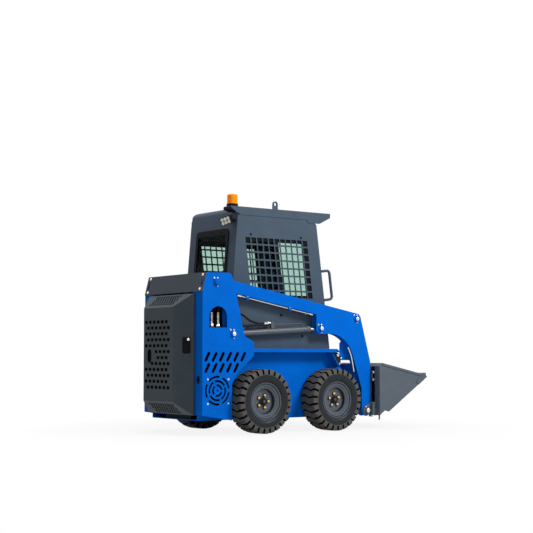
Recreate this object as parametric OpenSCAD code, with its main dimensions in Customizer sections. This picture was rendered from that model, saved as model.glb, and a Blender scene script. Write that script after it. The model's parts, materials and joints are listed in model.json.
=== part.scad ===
// Compact skid steer loader with an enclosed cab, radial lift arms and a rolled-back bucket.
// Millimetres. X points forward, Y to the machine's left, Z up. Places are taken from the rear axle.

/* [Wheels] */
// Distance between the axles
wheelbase = 824; // [780:2:880]
// Tyre diameter out to the tips of the tread
tyre_d = 580; // [560:2:600]
// Width of a tyre
tyre_w = 210; // [190:2:220]
// Distance between the tyre centres
track = 990; // [984:2:1030]
// Diameter of the rim where the tyre sits
rim_d = 304; // [290:2:316]
// Height of a rim flange above the tyre seat
flange_h = 18; // [14:1:22]
// Depth of the wheel disc behind the outer flange
dish_depth = 62; // [50:1:70]
// Diameter of the wheel nut circle
nut_circle = 114; // [104:1:124]
// Radius of the dish inside the rim's stepped cone
dish_r = 112; // [104:1:118]
// Number of lugs along each tyre shoulder
lugs = 26; // [22:1:28]
// Width of a groove between two lugs
groove_w = 15; // [11:1:17]
// Depth of the grooves
groove_d = 17; // [12:1:20]

/* [Chassis] */
// Thickness of the chassis and tower plates
plate_t = 8; // [6:0.5:10]
// Free space between the tub and the tyres
tyre_gap = 8; // [6:1:12]
// Height of the belly above the ground
belly_z = 127; // [115:1:140]
// Height of the deck that carries the cab
deck_z = 765; // [750:1:780]
// Depth of the lip along each deck ledge
ledge_lip = 33; // [25:1:40]

/* [Towers] */
// Width over the outer faces of the towers
tower_w = 988; // [980:2:1000]
// Rear face of the towers behind the rear axle
tower_rear = 622; // [612:1:632]
// Free space between sliding side plates
side_gap = 6; // [5:0.5:7]
// Thickness of the inner tower plates
inner_t = 6; // [5:0.5:8]
// Arm pivot behind the rear axle
pivot_back = 470; // [462:1:478]
// Height of the arm pivot
pivot_z = 1352; // [1344:1:1360]
// Diameter of the arm pivot pin
pivot_d = 50; // [44:1:56]
// Lift cylinder foot pin behind the rear axle
foot_back = 293; // [288:1:298]
// Height of the lift cylinder foot pin
foot_z = 894; // [888:1:900]
// Diameter of the lift cylinder pins
lift_pin_d = 36; // [32:1:40]

/* [Lift arms] */
// Width of the arm box over its plates
arm_box = 73; // [70:1:76]
// Thickness of the arm plates
arm_t = 8; // [6:0.5:9]
// Depth of the straight arm, measured upright
arm_depth = 108; // [104:1:116]
// Width of the arm leg
leg_w = 110; // [104:1:116]
// Free space between the front tyre and the leg
leg_gap = 101; // [90:1:112]
// Height of the bucket pivot
hinge_z = 177; // [172:1:184]
// Height of the knee's top corner
knee_top_z = 1101; // [1092:1:1110]
// Height where the leg turns upright
leg_top_z = 647; // [636:1:656]
// Radius of the arch over the front wheel
arch_r = 298; // [290:1:306]
// Height of the arch centre
arch_z = 612; // [604:1:620]
// Lift rod pin behind the front axle
lift_pin_back = 108; // [100:1:116]
// Height of the lift rod pin
lift_pin_z = 955; // [948:1:962]

/* [Cylinders] */
// Diameter of the lift barrels
lift_barrel_d = 55; // [50:1:56]
// Diameter of the lift rods
lift_rod_d = 32; // [28:1:36]
// Diameter of the tilt barrels
tilt_barrel_d = 50; // [44:1:52]
// Diameter of the tilt rods
tilt_rod_d = 28; // [24:1:32]
// Distance from the bucket pivot to the tilt rod pin
tilt_r = 200; // [190:1:210]
// Running space around pins and rods
run_gap = 0.3; // [0.3:0.1:0.5]

/* [Bucket] */
// Width of the bucket
bucket_w = 1160; // [1120:2:1180]
// Thickness of the bucket plates
bucket_t = 8; // [6:0.5:10]
// Length of the bucket floor
floor_len = 710; // [660:1:760]
// Slope of the bucket floor at rest
floor_slope = 34.4; // [32:0.2:36]
// Height of the bucket back above the pivot
bucket_rise = 423; // [400:1:446]
// Thickness of the coupler plate
coupler_t = 14; // [10:1:16]

/* [Cab] */
// Height of the roof
roof_z = 2060; // [2030:1:2100]
// Thickness of the cab walls
wall_t = 8; // [6:0.5:10]
// Front edge of the roof ahead of the rear axle
roof_front = 902; // [890:1:920]
// Front foot of the cab ahead of the rear axle
cab_foot = 892; // [884:1:898]
// Thickness of the glass
glass_t = 5; // [4:0.5:6]
// Thickness of the front door
door_t = 26; // [22:1:30]
// Free space around the front door
door_gap = 6; // [5:0.5:8]

/* [Rear door] */
// Reach of the rear door behind the rear axle
door_reach = 777; // [760:1:790]
// Thickness of the rear door sheet
sheet_t = 4; // [3:0.5:6]
// Height of the rear door's lower edge
rear_door_z0 = 176; // [172:1:190]
// Height of the rear door's upper edge
rear_door_z1 = 1251; // [1240:1:1256]

/* [Hidden] */
$fn = 48;
eps = 1;
tyre_r = tyre_d / 2;
rim_r = rim_d / 2;
tub_half = track / 2 - tyre_w / 2 - tyre_gap;
tower_out = tower_w / 2;
tower_in = tower_out - plate_t;
arm_out = tower_in - side_gap;
arm_in = arm_out - arm_box;
inner_out = arm_in - side_gap;
inner_in = inner_out - inner_t;
cab_half = inner_in - side_gap;
cab_in = cab_half - wall_t;
cyl_y = (arm_in + arm_out) / 2;
pivot = [-pivot_back, pivot_z];
foot = [-foot_back, foot_z];
lift_pin_x = wheelbase - lift_pin_back;
lift_pin = [lift_pin_x, lift_pin_z];
leg_rear = wheelbase + tyre_r + leg_gap;
leg_front = leg_rear + leg_w;
hinge = [leg_rear + leg_w / 2, hinge_z];
knee_top = [hinge[0] - 87, knee_top_z];
knee = [knee_top[0] - 30, knee_top_z - 47];
tilt_pin = [hinge[0] + tilt_r * cos(85), hinge_z + tilt_r * sin(85)];
arch_c = [wheelbase, arch_z];
arm_slope = (knee_top_z - pivot_z - arm_depth / 2) / (knee_top[0] - pivot[0]);
arm_angle = atan(arm_slope);
function arm_top(x) = knee_top_z + (x - knee_top[0]) * arm_slope;
function arm_under(x) = arm_top(x) - arm_depth;
function arc(c, r, a0, a1, n) = [for (i = [0:n])
    c + r * [cos(a0 + (a1 - a0) * i / n), sin(a0 + (a1 - a0) * i / n)]];
lift_len = norm(lift_pin - foot);
lift_a = atan2(lift_pin[1] - foot[1], lift_pin[0] - foot[0]);
tilt_len = norm(tilt_pin - knee);
tilt_a = atan2(tilt_pin[1] - knee[1], tilt_pin[0] - knee[0]);
lobe_x = lift_pin_x - 53;
lobe_r = 52;
knee_pin_r = 18;
hinge_pin_r = 20;
pin_out = 20;
back_x = leg_front + 33;
coupler_x = back_x - coupler_t;
coupler_half = arm_out + 48;
floor_dir = [cos(floor_slope), sin(floor_slope)];
floor_up = [-floor_dir[1], floor_dir[0]];
heel = [back_x, hinge_z - 48];
floor_tip = heel + floor_len * floor_dir;
edge_tip = floor_tip + 4 * floor_dir - 49 * floor_up;
mid_x = (edge_tip[0] - door_reach) / 2;
deck_top = deck_z + 20;
cab_z1 = roof_z - 75;
front_lean = 0.133;
rear_lean = 0.0854;
function front_x(z) = cab_foot - (z - deck_top) * front_lean;
function rear_x(z) = -275 + (z - deck_top) * rear_lean;
roof_half = cab_half + 5;
stack_x = -tower_rear + 45;
hood_z = pivot_z - 86;
hood_rise = 171;

// Centres the whole machine on its own box
module centred() {
    translate([-mid_x, 0, 0])
        children();
}

// Keeps a right-hand piece and adds its mirror image on the left
module both() {
    children();
    mirror([0, 1, 0])
        children();
}

// Side outline drawn upright, between two distances out to the right
module slab(inner, outer) {
    translate([0, -inner, 0])
        rotate([90, 0, 0])
            linear_extrude(outer - inner)
                children();
}

// Round bar across the machine at a side place
module cross_bar(p, r, inner, outer) {
    translate([p[0], -inner, p[1]])
        rotate([90, 0, 0])
            cylinder(r = r, h = outer - inner);
}

// Turns the local Z axis to a side angle at a side place
module along(p, a, y) {
    translate([p[0], -y, p[1]])
        rotate([0, 90 - a, 0])
            children();
}

// Upright plate facing the rear, drawn as seen with Y across and Z up
module facing(x0, x1) {
    translate([x0, 0, 0])
        rotate([90, 0, 90])
            linear_extrude(x1 - x0)
                children();
}

// Round tube through a list of places
module tube(path, r) {
    for (i = [0:len(path) - 2]) {
        d = path[i + 1] - path[i];
        translate(path[i])
            rotate([0, acos(d[2] / norm(d)), atan2(d[1], d[0])])
                cylinder(r = r, h = norm(d));
        if (i > 0)
            translate(path[i])
                sphere(r = 1.03 * r);
    }
}

// Rectangle with round corners, lying in its own plane
module round_rect(x0, y0, x1, y1, r) {
    polygon(concat(arc([x0 + r, y0 + r], r, 180, 270, 5), arc([x1 - r, y0 + r], r, 270, 360, 5),
        arc([x1 - r, y1 - r], r, 0, 90, 5), arc([x0 + r, y1 - r], r, 90, 180, 5)));
}

// Slot with round ends between two places
module slot(p, q, r) {
    a = atan2(q[1] - p[1], q[0] - p[0]);
    polygon(concat(arc(p, r, a + 90, a + 270, 6), arc(q, r, a - 90, a + 90, 6)));
}

// Chassis tub with side walls, belly, nose and deck ledges
tub_rear = -tower_rear + 22;
nose_x = wheelbase + tyre_r - 24;
ledge_front = wheelbase + 83;
tub_side = [[tub_rear, belly_z], [nose_x - 90, belly_z], [nose_x, belly_z + 100], [nose_x, deck_z - 285],
    [nose_x - 55, deck_z - 176], [ledge_front - 3, deck_z - 74], [ledge_front - 37, deck_z], [tub_rear, deck_z]];
nose_in = [[tub_rear - plate_t, belly_z + plate_t], [nose_x - 94, belly_z + plate_t],
    [nose_x - plate_t, belly_z + 104], [nose_x - plate_t, deck_z - 288], [nose_x - 61, deck_z - 182],
    [ledge_front - 9, deck_z - 80], [ledge_front - 46, deck_z + plate_t], [tub_rear - plate_t, deck_z + plate_t]];
module chassis_tub() {
    color("royalblue")
        centred() {
            both()
                slab(tub_half - plate_t, tub_half)
                    polygon(tub_side);
            slab(-tub_half, tub_half)
                difference() {
                    polygon(tub_side);
                    polygon(nose_in);
                }
            both() {
                slab(tub_half - plate_t, tower_in)
                    translate([tub_rear, deck_z - plate_t])
                        square([ledge_front - tub_rear, plate_t]);
                slab(tower_in - plate_t, tower_in)
                    translate([tub_rear, deck_z - ledge_lip])
                        square([ledge_front - tub_rear, ledge_lip]);
                slab(tub_half - plate_t, tower_in)
                    polygon([[ledge_front, deck_z], [ledge_front + 45, deck_z - 25],
                        [ledge_front + 38, deck_z - 32], [ledge_front - 6, deck_z - plate_t]]);
                slab(tub_half, tower_in - 14)
                    polygon([[ledge_front - 70, deck_z - plate_t], [ledge_front - 62, deck_z - plate_t],
                        [ledge_front + 42, deck_z - 168], [ledge_front + 34, deck_z - 172]]);
            }
        }
}

// One tower on the right: slotted outer plate, inner plate, rear web and pins
tower_side = [[-tower_rear, belly_z + 50], [-tower_rear, hood_z], [stack_x, hood_z + hood_rise],
    [pivot[0] + 126, pivot_z + 88], [pivot[0] + 152, pivot_z + 76], [pivot[0] + 170, pivot_z + 46],
    [pivot[0] + 211, pivot_z - 103], [foot[0] + 112, foot_z + 26], [foot[0] + 130, foot_z - 20],
    [foot[0] + 226, foot_z - 66], [foot[0] + 226, foot_z - 193], [-245, tyre_r + 257],
    [-tyre_r - 16, tyre_r + 161], [-tyre_r - 16, belly_z]];
inner_side = [[-tower_rear, deck_z], [-tower_rear, hood_z], [stack_x, hood_z + hood_rise],
    [pivot[0] + 126, pivot_z + 88], [pivot[0] + 152, pivot_z + 76], [pivot[0] + 170, pivot_z + 46],
    [pivot[0] + 211, pivot_z - 103], [foot[0] + 112, foot_z + 26], [foot[0] + 130, foot_z - 20],
    [foot[0] + 226, foot_z - 66], [foot[0] + 226, deck_z]];
fan_c = [-(tower_rear + tyre_r + 14) / 2, tyre_r + 103];
vent_px = 77;
vent_r = 15;
ring_w = 19;
vent_run = [33, 61];
vent_low = [36 - tower_rear, tyre_r + 273];
vent_high = [36 - tower_rear, tyre_r + 371];
module ring_slot(r, w, a0, a1) {
    intersection() {
        difference() {
            circle(r = r + w / 2);
            circle(r = r - w / 2);
        }
        polygon([[0, 0], 2 * r * [cos(a0), sin(a0)], 2 * r * [cos((a0 + a1) / 2), sin((a0 + a1) / 2)],
            2 * r * [cos(a1), sin(a1)]]);
    }
}
module tower_cuts() {
    polygon(concat(arc([pivot[0] + 16, pivot_z - 308], 95, 0, 180, 12),
        [[pivot[0] - 79, pivot_z - 402], [pivot[0] + 111, pivot_z - 402]]));
    for (i = [0:5])
        slot(vent_high + [vent_px * i, 0], vent_high + [vent_px * i, 0] + vent_run, vent_r);
    for (i = [0:4])
        slot(vent_low + [vent_px * i, 0], vent_low + [vent_px * i, 0] + vent_run, vent_r);
    translate(fan_c) {
        for (a = [0:72:288])
            rotate(a)
                ring_slot(122, ring_w, 8, 64);
        for (a = [0:90:270])
            rotate(a)
                ring_slot(84, ring_w, 30, 108);
        for (a = [0:120:240])
            rotate(a)
                ring_slot(46, ring_w, 10, 102);
        circle(r = ring_w / 2);
    }
}
module tower() {
    slab(tower_in, tower_out)
        difference() {
            polygon(tower_side);
            tower_cuts();
        }
    slab(inner_in, inner_out)
        polygon(inner_side);
    slab(inner_in, tower_in + eps)
        translate([-tower_rear, deck_z])
            square([plate_t, hood_z - deck_z]);
    cross_bar(pivot, pivot_d / 2, inner_in, tower_out + pin_out);
    cross_bar(pivot, pivot_d / 2 + 12, tower_out - eps, tower_out + 8);
    cross_bar(foot, lift_pin_d / 2, inner_in, tower_out + pin_out);
    cross_bar(foot, lift_pin_d / 2 + 10, tower_out - eps, tower_out + 6);
}
module tower_right() {
    color("royalblue")
        centred()
            tower();
}
module tower_left() {
    color("royalblue")
        centred()
            mirror([0, 1, 0])
                tower();
}

// Frame on three sides of the rear door opening
module rear_frame() {
    color("mediumblue")
        centred() {
            for (z = hinge_zs) {
                translate([-hinge_px, hinge_py, z + hinge_h + 0.4])
                    cylinder(r = knuckle_r, h = hinge_h);
                translate([-hinge_px, hinge_py, z + hinge_h + 0.4])
                    cube([hinge_px - tower_rear + eps, inner_in - hinge_py, hinge_h]);
            }
            facing(-tower_rear, tub_rear)
                difference() {
                    union() {
                        translate([-tower_in, belly_z + 50])
                            square([2 * tower_in, deck_z - belly_z - 50]);
                        translate([-inner_in, deck_z - plate_t])
                            square([2 * inner_in, hood_z - deck_z + plate_t]);
                    }
                    translate([38 - base_half, belly_z + 110])
                        square([2 * base_half - 76, hood_z - belly_z]);
                }
        }
}

// Hood with its leaning rear panel and flat top
hood_t = 6;
hood_dir = [stack_x + tower_rear, hood_rise] / norm([stack_x + tower_rear, hood_rise]);
hood_out = [-hood_dir[1], hood_dir[0]];
hood_low = [-tower_rear, hood_z];
hood_high = [stack_x, hood_z + hood_rise];
module hood() {
    color("dimgray")
        centred() {
            difference() {
                slab(-tower_out, tower_out)
                    polygon([hood_low, hood_high, hood_high + hood_t * hood_out, hood_low + hood_t * hood_out]);
                both()
                    translate([hood_low[0] + 24, -460, hood_low[1] + 90])
                        rotate([0, atan2(stack_x + tower_rear, hood_rise), 0])
                            cube([60, 24, 76], center = true);
            }
            slab(-inner_in, inner_in)
                polygon([hood_high, hood_high - [0, hood_t], [rear_x(pivot_z) - 12, pivot_z + 79],
                    [rear_x(pivot_z) - 12, pivot_z + 85]]);
            slab(-inner_in, inner_in)
                polygon([hood_high + hood_t * hood_out, hood_high, hood_high - [0, hood_t],
                    hood_low + 150 * hood_dir]);
        }
}

// Exhaust outlet that stands on the hood
module exhaust() {
    color("black")
        centred()
            difference() {
                translate([-505, -280, pivot_z + 85])
                    cylinder(r = 26, h = 58);
                translate([-505, -280, pivot_z + 91])
                    cylinder(r = 22, h = 60);
            }
}

// Engine as one plain block on the belly
engine_l = 470;
engine_w = 440;
engine_h = 560;
module engine_block() {
    color("darkslategray")
        centred()
            translate([tub_rear + 40, -engine_w / 2, belly_z + plate_t])
                cube([engine_l, engine_w, engine_h]);
}

// Four stubs that carry the wheels
hub_w = tyre_w / 2 - 13 - dish_depth;
module axle_stub(x) {
    translate([x, -tub_half, tyre_r])
        rotate([90, 0, 0]) {
            cylinder(r = 95, h = 14);
            cylinder(r = 58, h = track / 2 - tub_half + hub_w - 34);
            cylinder(r = 25, h = track / 2 - tub_half + hub_w - 6);
        }
}
module axle_stubs() {
    color("dimgray")
        centred()
            both() {
                axle_stub(0);
                axle_stub(wheelbase);
            }
}

// Cab floor with the footwell
well_x = 430;
well_z = deck_z - 290;
well_t = 6;
well_edge = 40;
module cab_floor() {
    color("slategray")
        centred() {
            difference() {
                slab(-cab_half, cab_half)
                    polygon([[rear_x(deck_top), deck_z], [cab_foot, deck_z], [cab_foot, deck_top],
                        [rear_x(deck_top), deck_top]]);
                slab(well_edge - cab_in, cab_in - well_edge)
                    translate([well_x, deck_z - eps])
                        square([cab_foot - well_x - 30, deck_top - deck_z + 2 * eps]);
            }
            slab(well_edge - 4 - cab_in, cab_in - well_edge + 4) {
                translate([well_x - well_t, well_z])
                    square([well_t, deck_z - well_z + 10]);
                translate([well_x - well_t, well_z])
                    square([nose_x - plate_t - 2 * well_t - well_x, well_t]);
            }
        }
}

// Cab side wall with its sheared mesh
mesh_x = -90;
mesh_z = 1784;
mesh_px = 66;
mesh_pz = 70;
mesh_w = 55;
mesh_h = 55;
mesh_shear = 0.123;
side_wall = [[rear_x(deck_top), deck_top], [cab_foot, deck_top], [front_x(cab_z1 - 36), cab_z1 - 36],
    [front_x(cab_z1 - 36) - 90, cab_z1 - 33], [front_x(cab_z1 - 36) - 124, cab_z1], [rear_x(cab_z1), cab_z1]];
function sheared(x, z) = [mesh_x + x + mesh_shear * z, mesh_z - z];
module cab_side() {
    slab(cab_in, cab_half)
        difference() {
            polygon(side_wall);
            for (i = [0:10])
                for (j = [0:7])
                    polygon([sheared(i * mesh_px, j * mesh_pz), sheared(i * mesh_px, j * mesh_pz + mesh_h),
                        sheared(i * mesh_px + mesh_w, j * mesh_pz + mesh_h),
                        sheared(i * mesh_px + mesh_w, j * mesh_pz)]);
        }
}
module cab_side_right() {
    color("slategray")
        centred()
            cab_side();
}
module cab_side_left() {
    color("slategray")
        centred()
            mirror([0, 1, 0])
                cab_side();
}

// Cab rear wall, rolled over at the top, with rounded top corners and its window
rear_top = 60;
corner_r = 44;
roof_rear = -106;
skirt_rear = -158;
rear_bend = [rear_x(roof_z - rear_top) + rear_top, roof_z - rear_top];
rear_win = [-270, 1440, 270, 1868];
module cab_rear() {
    color("slategray")
        centred()
            difference() {
                slab(-cab_in, cab_in)
                    polygon(concat([[rear_x(deck_top), deck_top]], arc(rear_bend, rear_top, 180, 90, 8),
                        [[roof_rear, roof_z], [roof_rear, roof_z - wall_t]],
                        arc(rear_bend, rear_top - wall_t, 90, 180, 8), [[rear_x(deck_top) + wall_t, deck_top]]));
                facing(rear_x(deck_top) - 50, rear_x(roof_z) + 60)
                    round_rect(rear_win[0], rear_win[1], rear_win[2], rear_win[3], 40);
                for (side = [0, 1])
                    mirror([0, side, 0])
                        facing(rear_x(deck_top) - 50, roof_rear + eps)
                            polygon(concat([[cab_in + eps, roof_z + eps], [cab_in - corner_r, roof_z + eps]],
                                arc([cab_in - corner_r, roof_z - corner_r], corner_r, 90, 0, 8),
                                [[cab_in + eps, roof_z - corner_r]]));
            }
}

// Roof cap with side skirts, a front visor and the plate beside the beacon
skirt = [[roof_rear, roof_z], [skirt_rear, roof_z - 62], [skirt_rear, cab_z1],
    [front_x(cab_z1 - 36) - 124, cab_z1], [front_x(cab_z1 - 36) - 88, cab_z1 - 33],
    [roof_front - 128, cab_z1 - 29], [roof_front, roof_z - 41], [roof_front, roof_z]];
beacon_back = -255;
module cab_roof() {
    color("slategray")
        centred() {
            both()
                slab(cab_half, roof_half)
                    polygon(skirt);
            slab(cab_half, roof_half)
                polygon([[roof_rear, roof_z], [beacon_back, roof_z], [beacon_back, roof_z - 10],
                    [skirt_rear - 18, cab_z1 + 12], [skirt_rear + eps, cab_z1 + 12]]);
            slab(-roof_half, roof_half)
                translate([roof_rear, roof_z - wall_t])
                    square([roof_front - roof_rear, wall_t]);
            slab(-roof_half, roof_half)
                translate([roof_front - wall_t, roof_z - 41])
                    square([wall_t, 41]);
        }
}

// Front frame between the side walls, around the door opening
frame_t = 34;
inset = 8;
open_half = cab_in - 54;
open_z0 = deck_top + 50;
open_z1 = cab_z1 - 70;
hinge_y = open_half - door_gap / 2;
lean_a = atan(front_lean);
module front_strip(z0, z1, d0, d1) {
    polygon([[front_x(z0) - d0, z0], [front_x(z1) - d0, z1], [front_x(z1) - d1, z1], [front_x(z0) - d1, z0]]);
}
module knuckle(z0, z1, r) {
    translate([front_x(z0) - inset, hinge_y, z0])
        rotate([0, -lean_a, 0])
            cylinder(r = r, h = (z1 - z0) / cos(lean_a));
}
module cab_front() {
    color("slategray")
        centred() {
            difference() {
                slab(-cab_in, cab_in)
                    front_strip(deck_top, cab_z1 - 36, inset, inset + frame_t);
                slab(-open_half, open_half)
                    front_strip(open_z0, open_z1, -20, inset + frame_t + 20);
                for (z = [open_z0 + 150, open_z1 - 230])
                    knuckle(z - 2, z + 40.2, 10);
            }
            slab(-cab_in, cab_in)
                polygon([[front_x(cab_z1 - 36) - inset - frame_t, cab_z1 - 36],
                    [front_x(cab_z1 - 36) - inset, cab_z1 - 36], [front_x(cab_z1 - 36) - inset, roof_z - wall_t],
                    [front_x(cab_z1 - 36) - inset - wall_t, roof_z - wall_t]]);
            for (z = [open_z0 + 150, open_z1 - 230])
                knuckle(z + 40.4, z + 80, 8);
        }
}

// Black frames of the side sliders and the rear window
slide_out = cab_in;
slide_in = cab_in - 20;
win_w = 10 * mesh_px + mesh_w;
win_h = 7 * mesh_pz + mesh_h;
bar_x = 5 * mesh_px + 2;
module window_quad(x0, z0, x1, z1) {
    polygon([sheared(x0, z0), sheared(x0, z1), sheared(x1, z1), sheared(x1, z0)]);
}
module window_frames() {
    color("black")
        centred() {
            both()
                slab(slide_in, slide_out)
                    difference() {
                        window_quad(-22, -22, win_w + 22, win_h + 22);
                        window_quad(8, 32, bar_x, win_h - 24);
                        window_quad(bar_x + 44, 32, win_w - mesh_w, win_h - 24);
                    }
            difference() {
                slab(rear_win[0], rear_win[2])
                    polygon([[rear_x(rear_win[1]) - 10, rear_win[1]], [rear_x(rear_win[3]) - 10, rear_win[3]],
                        [rear_x(rear_win[3]) + 12, rear_win[3]], [rear_x(rear_win[1]) + 12, rear_win[1]]]);
                facing(rear_x(deck_top) - 50, rear_x(roof_z) + 60)
                    round_rect(rear_win[0] + 34, rear_win[1] + 34, rear_win[2] - 34, rear_win[3] - 52, 24);
                facing(rear_x(deck_top) - 50, rear_x(roof_z) + 60)
                    difference() {
                        translate([rear_win[0] - 5, rear_win[1] - 5])
                            square([rear_win[2] - rear_win[0] + 10, rear_win[3] - rear_win[1] + 10]);
                        round_rect(rear_win[0], rear_win[1], rear_win[2], rear_win[3], 40);
                    }
            }
        }
}

// Panes of the side sliders
module side_glass() {
    color("honeydew")
        centred()
            both() {
                slab(slide_in + 6, slide_in + 6 + glass_t)
                    window_quad(8, 32, bar_x, win_h - 24);
                slab(slide_in + 6, slide_in + 6 + glass_t)
                    window_quad(bar_x + 44, 32, win_w - mesh_w, win_h - 24);
            }
}

// Pane of the rear window
module rear_glass() {
    color("honeydew")
        centred()
            intersection() {
                slab(rear_win[0], rear_win[2])
                    polygon([[rear_x(rear_win[1]), rear_win[1]], [rear_x(rear_win[3]), rear_win[3]],
                        [rear_x(rear_win[3]) + glass_t, rear_win[3]],
                        [rear_x(rear_win[1]) + glass_t, rear_win[1]]]);
                facing(rear_x(deck_top) - 50, rear_x(roof_z) + 60)
                    round_rect(rear_win[0] + 34, rear_win[1] + 34, rear_win[2] - 34, rear_win[3] - 52, 24);
            }
}

// Seat base on the floor
seat_x = 20;
seat_base_l = 390;
seat_base_w = 400;
seat_base_h = 130;
module seat_base() {
    color("black")
        centred()
            translate([seat_x, -seat_base_w / 2, deck_top])
                cube([seat_base_l, seat_base_w, seat_base_h]);
}

// Cushion and backrest
cushion_l = 430;
cushion_w = 450;
cushion_h = 95;
backrest_t = 90;
backrest_w = 430;
backrest_h = 480;
backrest_lean = 10;
module seat_pads() {
    color("black")
        centred() {
            translate([seat_x, -cushion_w / 2, deck_top + seat_base_h])
                cube([cushion_l, cushion_w, cushion_h]);
            translate([seat_x, -backrest_w / 2, deck_top + seat_base_h + cushion_h])
                rotate([0, -backrest_lean, 0])
                    translate([0, 0, run_gap])
                        cube([backrest_t, backrest_w, backrest_h]);
        }
}

// Side consoles with joysticks
console_x = seat_x + 100;
console_y = cushion_w / 2 + 25;
console_l = 380;
console_w = 90;
console_h = 250;
stick_x = console_x + 320;
stick_y = console_y + console_w / 2;
stick_r = 14;
stick_h = 110;
knob_r = 26;
module controls() {
    color("black")
        centred()
            both() {
                translate([console_x, console_y, deck_top])
                    cube([console_l, console_w, console_h]);
                translate([stick_x, stick_y, deck_top + console_h])
                    cylinder(r = stick_r, h = stick_h);
                translate([stick_x, stick_y, deck_top + console_h + stick_h + 10])
                    sphere(r = knob_r);
            }
}

// Grab handles ahead of the cab's front edge
grab_z0 = 1229;
grab_z1 = 1502;
grab_y = cab_half - wall_t / 2;
grab_r = 13;
grab_bend = 30;
grab_out = 98;
grab_h = (grab_z1 - grab_z0) / cos(lean_a);
module grab_elbow(z, turn) {
    translate([grab_out - grab_bend, 0, z])
        rotate([90, 0, 0])
            rotate([0, 0, turn])
                rotate_extrude(angle = 90)
                    translate([grab_bend, 0])
                        circle(r = grab_r);
}
module grab_handles() {
    color("slategray")
        centred()
            both()
                translate([front_x(grab_z0), -grab_y, grab_z0])
                    rotate([0, -lean_a, 0]) {
                        for (z = [0, grab_h])
                            translate([0, 0, z])
                                rotate([0, 90, 0])
                                    cylinder(r = grab_r, h = grab_out - grab_bend);
                        grab_elbow(grab_bend, -90);
                        grab_elbow(grab_h - grab_bend, 0);
                        translate([grab_out, 0, grab_bend])
                            cylinder(r = grab_r, h = grab_h - 2 * grab_bend);
                    }
}

// Lifting eyes on the roof's long edges
eye_x = 250;
eye_y = roof_half - 8;
eye_z = roof_z + 46;
module lifting_eyes() {
    color("slategray")
        centred()
            both()
                slab(eye_y - 7, eye_y + 7)
                    difference() {
                        union() {
                            translate([eye_x, eye_z])
                                circle(r = 28);
                            translate([eye_x - 28, roof_z])
                                square([56, 46]);
                        }
                        translate([eye_x, eye_z])
                            circle(r = 15);
                    }
}

// Beacon base beside the plate at the rear right corner of the roof
beacon_x = -198;
beacon_y = -335;
beacon_r = 48;
foot_h = 24;
foot_in = 285;
module beacon_base() {
    color("black")
        centred() {
            translate([beacon_x, beacon_y, roof_z - eps])
                cylinder(r = beacon_r + 5, h = foot_h + eps);
            slab(foot_in, cab_half)
                polygon([[skirt_rear - 18, roof_z], [beacon_back + 3, roof_z], [beacon_back - 9, roof_z - 12],
                    [beacon_back - 5, roof_z - 32], [beacon_back + 45, roof_z - 48],
                    [skirt_rear - 18, roof_z - 48]]);
        }
}

// Beacon lens
lens_h = 88;
module beacon_lens() {
    color("orange")
        centred()
            translate([beacon_x, beacon_y, roof_z + foot_h])
                rotate_extrude()
                    polygon([[0, 0], [beacon_r, 0], [beacon_r, lens_h - 12], [beacon_r - 3, lens_h - 4],
                        [beacon_r - 10, lens_h], [0, lens_h]]);
}

// Rear work lamp on a bracket
lamp_z = roof_z - 128;
lamp_y = 306;
module work_lamp() {
    color("dimgray")
        centred() {
            translate([rear_x(lamp_z) - 62, -lamp_y, lamp_z])
                rotate([-12, -14, 18])
                    cube([34, 118, 74], center = true);
            slab(lamp_y + 16, lamp_y + 40)
                polygon([[rear_x(lamp_z - 14) - 60, lamp_z - 14], [rear_x(lamp_z - 14), lamp_z - 14],
                    [rear_x(lamp_z + 14), lamp_z + 14], [rear_x(lamp_z + 14) - 60, lamp_z + 14]]);
        }
}

// Hoses that show in the arched windows of the towers
module tower_hoses() {
    color("black")
        centred()
            both()
                for (i = [0:1])
                    tube([[pivot[0] - 10 + 70 * i, -inner_out - 18, deck_z],
                        [pivot[0] - 10 + 70 * i, -inner_out - 18, pivot_z - 250],
                        [pivot[0] + 30 + 60 * i, -inner_out - 18, pivot_z - 150]], 12);
}

// Bevelled rear door with its perforations
door_base = tower_rear + 6;
base_half = inner_in - 17;
face_half = 251;
face_z0 = rear_door_z0 + 117;
face_z1 = rear_door_z1 - 118;
hinge_px = door_base + 2;
hinge_py = base_half + 10;
knuckle_r = 7;
hinge_h = 40;
hinge_zs = [rear_door_z0 + 160, rear_door_z1 - 220];
grille_rows = 5;
grille_cols = 11;
grille_py = 40;
grille_pz = 17.6;
grille_hole = [[-16, 0], [0, -13], [16, 0], [0, 13]];
// Rows of rhombic holes across a bevel of the rear door, about a height
module grille(z) {
    facing(-door_reach - 10, -door_base - 12)
        for (j = [0:grille_rows - 1])
            for (i = [0:grille_cols - 1 - j % 2])
                translate([grille_py * (i + j % 2 / 2 - (grille_cols - 1) / 2),
                    z + grille_pz * (j - (grille_rows - 1) / 2)])
                    polygon(grille_hole);
}
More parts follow.
